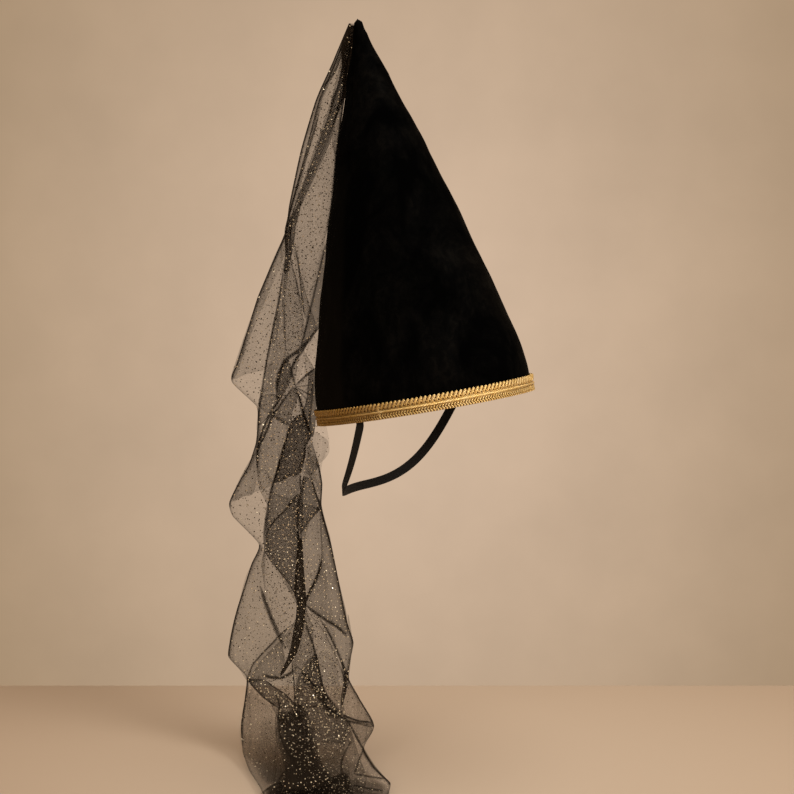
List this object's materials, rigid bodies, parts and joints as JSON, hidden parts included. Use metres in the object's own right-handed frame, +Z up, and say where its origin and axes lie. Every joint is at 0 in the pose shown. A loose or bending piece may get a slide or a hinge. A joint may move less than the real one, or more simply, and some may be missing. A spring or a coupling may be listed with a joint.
{
  "type": "hennin cone hat",
  "caption": "Tall black velvet cone hat with a gold braided rim, an elastic that holds it on and a long glittered tulle veil hanging from its tip.",
  "frame": {"origin": "middle of the head opening, in the plane of the rim, where the hat sits on a head", "axes": "+Z up as worn, the wearer faces -Y, the cone leans back towards +Y"},
  "size_m": [0.2152, 0.2875, 0.6698],
  "materials": {
    "velvet": "black velvet with a lightly crushed nap",
    "gold_braid": "woven gold gimp thread, half gloss",
    "elastic": "flat woven elastic, matt",
    "tulle": "fine black net with small glitter dots"
  },
  "bodies": {
    "root": {"cone_crown": "velvet", "rim_braid": "gold_braid", "chin_strap": "elastic", "veil": "tulle"}
  },
  "joints": []
}
